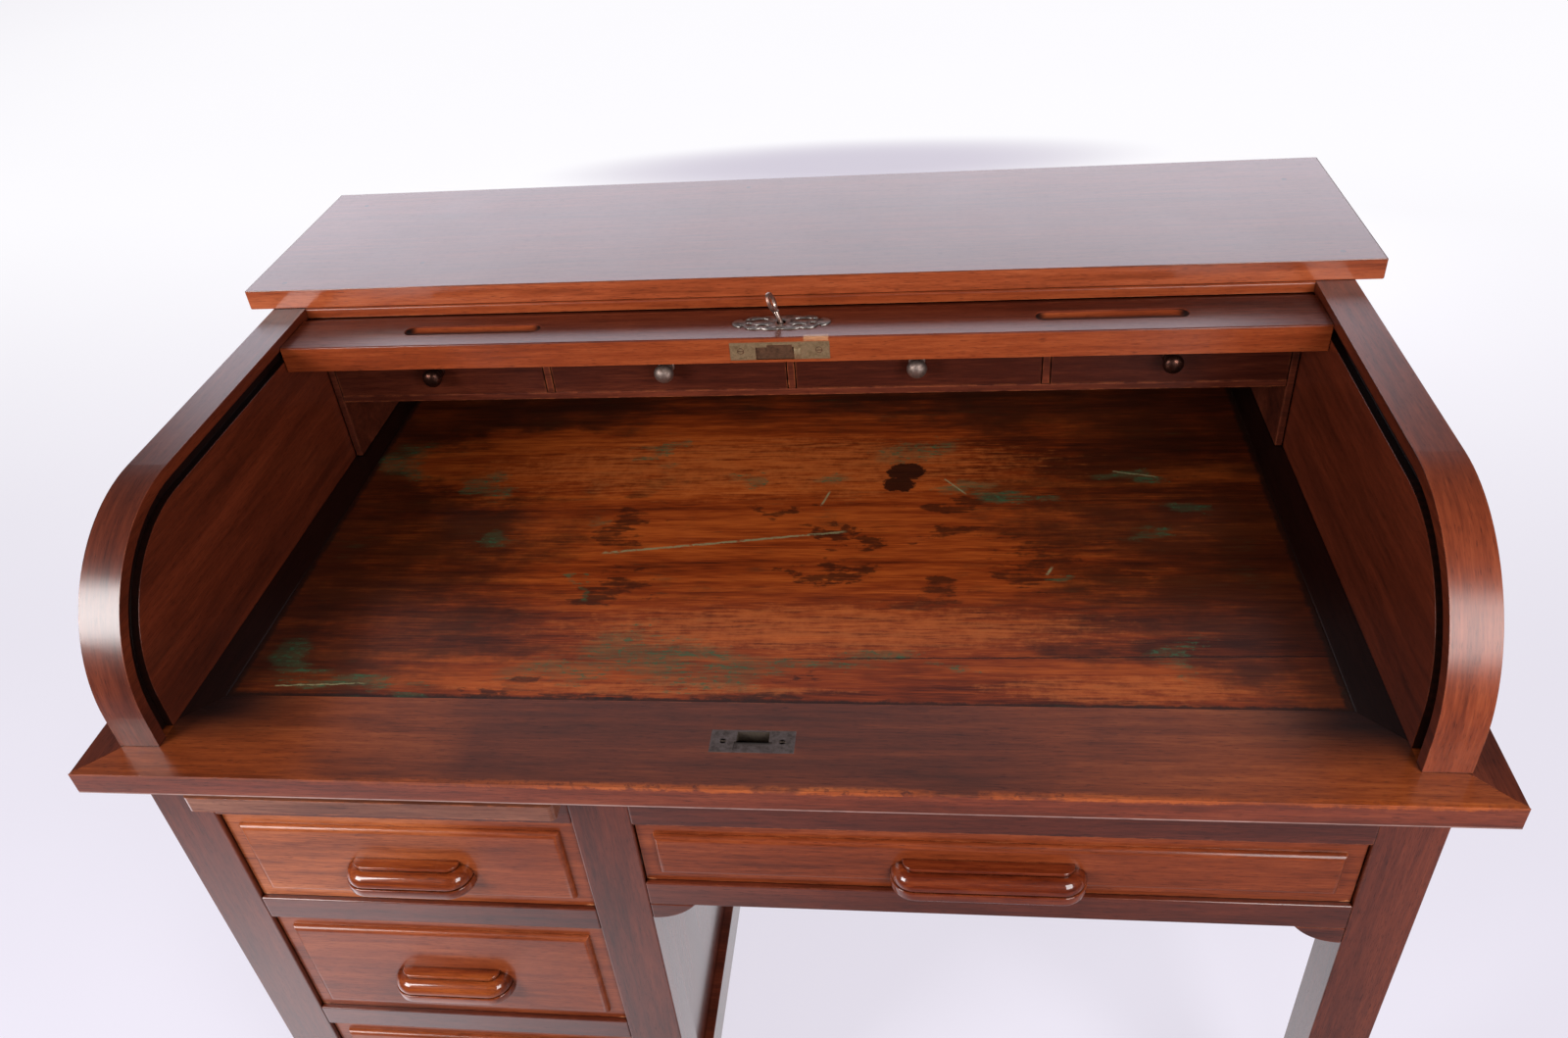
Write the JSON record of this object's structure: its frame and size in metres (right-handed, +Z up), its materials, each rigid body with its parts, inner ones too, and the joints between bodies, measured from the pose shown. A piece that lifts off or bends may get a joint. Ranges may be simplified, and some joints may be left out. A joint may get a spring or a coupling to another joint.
{
  "type": "roll-top desk",
  "caption": "Low roll-top writing desk with a drawer pedestal, a wide drawer over the kneehole, a pull-out slide and a tambour curtain that slides shut over the bed",
  "frame": {"origin": "centre of the footprint on the floor", "axes": "X to the right along the desk, Y to the back, Z up; the sitter faces +Y"},
  "size_m": [1.2, 0.775, 0.9728],
  "materials": {
    "polished_wood": "worn polish",
    "plain_wood": "satin",
    "worn_knob": "tarnished",
    "aged_brass": "tarnished",
    "steel_key": "worn"
  },
  "bodies": {
    "desk": {"post_front_left": "polished_wood", "post_front_centre": "polished_wood", "leg_front_right": "polished_wood", "post_back_left": "polished_wood", "post_back_centre": "polished_wood", "leg_back_right": "polished_wood", "pedestal_side_left": "polished_wood", "pedestal_side_right": "polished_wood", "pedestal_plinth": "polished_wood", "pedestal_back": "plain_wood", "pedestal_rails": "polished_wood", "kneehole_top_rail": "polished_wood", "kneehole_rail": "polished_wood", "kneehole_brackets": "polished_wood", "kneehole_aprons": "plain_wood", "drawer_runners": "plain_wood", "bed_front_rail": "polished_wood", "bed_left_rail": "polished_wood", "bed_right_rail": "polished_wood", "bed_back_rail": "polished_wood", "writing_panel": "polished_wood", "strike_plate": "aged_brass", "side_left": "polished_wood", "side_right": "polished_wood", "shelf": "polished_wood", "shelf_fascia": "polished_wood", "case_back": "plain_wood", "unit_boards": "plain_wood", "unit_uprights": "plain_wood"},
    "small_drawer_1": {"small_drawer_1": "polished_wood", "small_knob_1": "worn_knob"},
    "small_drawer_2": {"small_drawer_2": "polished_wood", "small_knob_2": "worn_knob"},
    "small_drawer_3": {"small_drawer_3": "polished_wood", "small_knob_3": "worn_knob"},
    "small_drawer_4": {"small_drawer_4": "polished_wood", "small_knob_4": "worn_knob"},
    "pedestal_drawer_1": {"pedestal_drawer_1": "polished_wood", "pedestal_pull_1": "polished_wood"},
    "pedestal_drawer_2": {"pedestal_drawer_2": "polished_wood", "pedestal_pull_2": "polished_wood"},
    "pedestal_drawer_3": {"pedestal_drawer_3": "polished_wood", "pedestal_pull_3": "polished_wood"},
    "wide_drawer": {"wide_drawer": "polished_wood", "wide_pull": "polished_wood"},
    "writing_slide": {"writing_slide": "polished_wood"},
    "curtain_flat": {"tambour_flat_slats": "polished_wood"},
    "curtain_slat_7": {"tambour_slat_7": "polished_wood"},
    "curtain_slat_6": {"tambour_slat_6": "polished_wood"},
    "curtain_slat_5": {"tambour_slat_5": "polished_wood"},
    "curtain_slat_4": {"tambour_slat_4": "polished_wood"},
    "curtain_slat_3": {"tambour_slat_3": "polished_wood"},
    "curtain_slat_2": {"tambour_slat_2": "polished_wood"},
    "curtain_slat_1": {"tambour_slat_1": "polished_wood"},
    "lead_rail": {"lead_rail": "polished_wood", "lock_body": "aged_brass", "escutcheon": "aged_brass"},
    "curtain_tail": {"tambour_tail": "polished_wood"},
    "key": {"key": "steel_key"},
    "lock_bolt": {"lock_bolt": "aged_brass"}
  },
  "joints": [
    {"name": "small_drawer_1_slide", "type": "slide", "parent": "desk", "child": "small_drawer_1", "axis": [0, -1, 0], "range_m": [0, 0.12]},
    {"name": "small_drawer_2_slide", "type": "slide", "parent": "desk", "child": "small_drawer_2", "axis": [0, -1, 0], "range_m": [0, 0.12]},
    {"name": "small_drawer_3_slide", "type": "slide", "parent": "desk", "child": "small_drawer_3", "axis": [0, -1, 0], "range_m": [0, 0.12]},
    {"name": "small_drawer_4_slide", "type": "slide", "parent": "desk", "child": "small_drawer_4", "axis": [0, -1, 0], "range_m": [0, 0.12]},
    {"name": "pedestal_drawer_1_slide", "type": "slide", "parent": "desk", "child": "pedestal_drawer_1", "axis": [0, -1, 0], "range_m": [0, 0.42]},
    {"name": "pedestal_drawer_2_slide", "type": "slide", "parent": "desk", "child": "pedestal_drawer_2", "axis": [0, -1, 0], "range_m": [0, 0.42]},
    {"name": "pedestal_drawer_3_slide", "type": "slide", "parent": "desk", "child": "pedestal_drawer_3", "axis": [0, -1, 0], "range_m": [0, 0.42]},
    {"name": "wide_drawer_slide", "type": "slide", "parent": "desk", "child": "wide_drawer", "axis": [0, -1, 0], "range_m": [0, 0.38]},
    {"name": "writing_slide_pull", "type": "slide", "parent": "desk", "child": "writing_slide", "axis": [0, -1, 0], "range_m": [0, 0.3]},
    {"name": "curtain_slide", "type": "slide", "parent": "desk", "child": "curtain_flat", "axis": [0, -1, 0], "range_m": [0, 0.47682], "deforming": ["tambour_tail"]},
    {"name": "fold_slat_7", "type": "hinge", "parent": "curtain_flat", "child": "curtain_slat_7", "pos_m": [0, 0.28332, 0.9155], "axis": [1, 0, 0], "range_deg": [0, 5.59]},
    {"name": "fold_slat_6", "type": "hinge", "parent": "curtain_flat", "child": "curtain_slat_6", "pos_m": [0, 0.26571, 0.91464], "axis": [1, 0, 0], "range_deg": [0, 16.77]},
    {"name": "fold_slat_5", "type": "hinge", "parent": "curtain_flat", "child": "curtain_slat_5", "pos_m": [0, 0.25162, 0.91292], "axis": [1, 0, 0], "range_deg": [0, 27.95]},
    {"name": "fold_slat_4", "type": "hinge", "parent": "curtain_flat", "child": "curtain_slat_4", "pos_m": [0, 0.23804, 0.91031], "axis": [1, 0, 0], "range_deg": [0, 39.12]},
    {"name": "fold_slat_3", "type": "hinge", "parent": "curtain_flat", "child": "curtain_slat_3", "pos_m": [0, 0.22462, 0.9068], "axis": [1, 0, 0], "range_deg": [0, 50.3]},
    {"name": "fold_slat_2", "type": "hinge", "parent": "curtain_flat", "child": "curtain_slat_2", "pos_m": [0, 0.21128, 0.90237], "axis": [1, 0, 0], "range_deg": [0, 61.48]},
    {"name": "fold_slat_1", "type": "hinge", "parent": "curtain_flat", "child": "curtain_slat_1", "pos_m": [0, 0.19798, 0.89697], "axis": [1, 0, 0], "range_deg": [0, 72.66]},
    {"name": "fold_lead_rail", "type": "hinge", "parent": "curtain_flat", "child": "lead_rail", "pos_m": [0, 0.17856, 0.8876], "axis": [1, 0, 0], "range_deg": [0, 90]},
    {"name": "fold_tail", "type": "hinge", "parent": "curtain_flat", "child": "curtain_tail", "pos_m": [0, 0.3625, 0.9155], "axis": [1, 0, 0], "range_deg": [0, 90]},
    {"name": "key_turn", "type": "hinge", "parent": "lead_rail", "child": "key", "pos_m": [0, 0.06756, 0.931], "axis": [-0.1392, 0, 0.9903], "range_deg": [0, 90]},
    {"name": "bolt_slide", "type": "slide", "parent": "lead_rail", "child": "lock_bolt", "axis": [0, -1, 0], "range_m": [0, 0.008]}
  ],
  "couplings": [
    {"joint": "fold_slat_7", "follows": "curtain_slide", "rad_per_m": 0.20458},
    {"joint": "fold_slat_6", "follows": "curtain_slide", "rad_per_m": 0.61374},
    {"joint": "fold_slat_5", "follows": "curtain_slide", "rad_per_m": 1.0229},
    {"joint": "fold_slat_4", "follows": "curtain_slide", "rad_per_m": 1.4321},
    {"joint": "fold_slat_3", "follows": "curtain_slide", "rad_per_m": 1.8412},
    {"joint": "fold_slat_2", "follows": "curtain_slide", "rad_per_m": 2.2504},
    {"joint": "fold_slat_1", "follows": "curtain_slide", "rad_per_m": 2.6595},
    {"joint": "fold_lead_rail", "follows": "curtain_slide", "rad_per_m": 3.2943},
    {"joint": "fold_tail", "follows": "curtain_slide", "rad_per_m": 3.2943},
    {"joint": "bolt_slide", "follows": "key_turn", "m_per_rad": 0.005093}
  ]
}
